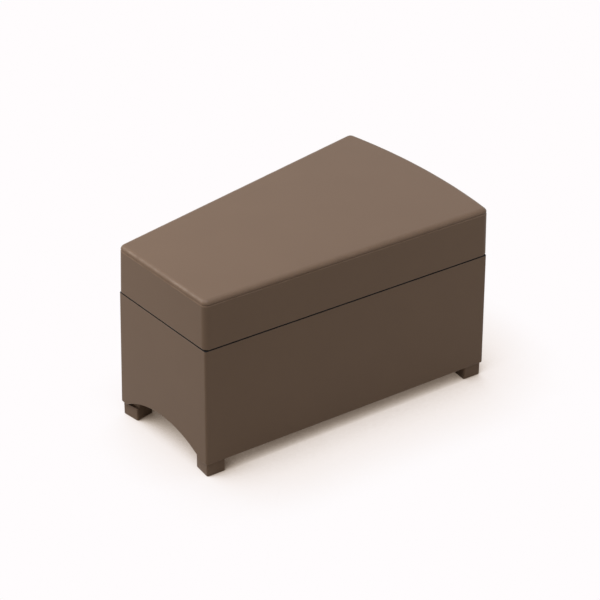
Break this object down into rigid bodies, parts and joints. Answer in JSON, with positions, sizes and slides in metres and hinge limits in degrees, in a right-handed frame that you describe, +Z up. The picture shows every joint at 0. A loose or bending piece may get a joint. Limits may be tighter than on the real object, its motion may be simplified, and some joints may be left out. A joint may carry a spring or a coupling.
{
  "type": "spa step",
  "caption": "Wedge-shaped moulded spa step: a storage bin with an arched narrow end on block legs, under a deep hinged tread lid.",
  "frame": {"origin": "on the floor, under the middle of the footprint", "axes": "+X from the narrow end to the wide end, +Y to the hinge side, +Z up"},
  "size_m": [0.7437, 0.4702, 0.43],
  "materials": {
    "lid_plastic": "satin moulded brown",
    "body_plastic": "satin moulded brown",
    "leg_plastic": "satin moulded brown",
    "rubber": "matt black",
    "hinge_steel": "brushed stainless",
    "screw_steel": "bright stainless"
  },
  "bodies": {
    "base": {"body_shell": "body_plastic", "bin_floor": "body_plastic", "rim_seal": "rubber", "leg_front_narrow": "leg_plastic", "leg_rear_narrow": "leg_plastic", "leg_front_wide": "leg_plastic", "leg_rear_wide": "leg_plastic", "foot_pads": "rubber", "leg_screws": "screw_steel", "hinge_narrow_body_leaf": "hinge_steel", "hinge_narrow_pin": "hinge_steel", "hinge_wide_body_leaf": "hinge_steel", "hinge_wide_pin": "hinge_steel", "body_backing_plates": "hinge_steel", "hinge_body_screws": "screw_steel"},
    "lid": {"lid_shell": "lid_plastic", "hinge_narrow_lid_leaf": "hinge_steel", "hinge_wide_lid_leaf": "hinge_steel", "lid_backing_plates": "hinge_steel", "hinge_lid_screws": "screw_steel"}
  },
  "joints": [
    {"name": "lid_hinge", "type": "hinge", "parent": "base", "child": "lid", "pos_m": [-0.01108, 0.19595, 0.3136], "axis": [-0.9935, -0.1135, 0], "range_deg": [0, 100]}
  ]
}
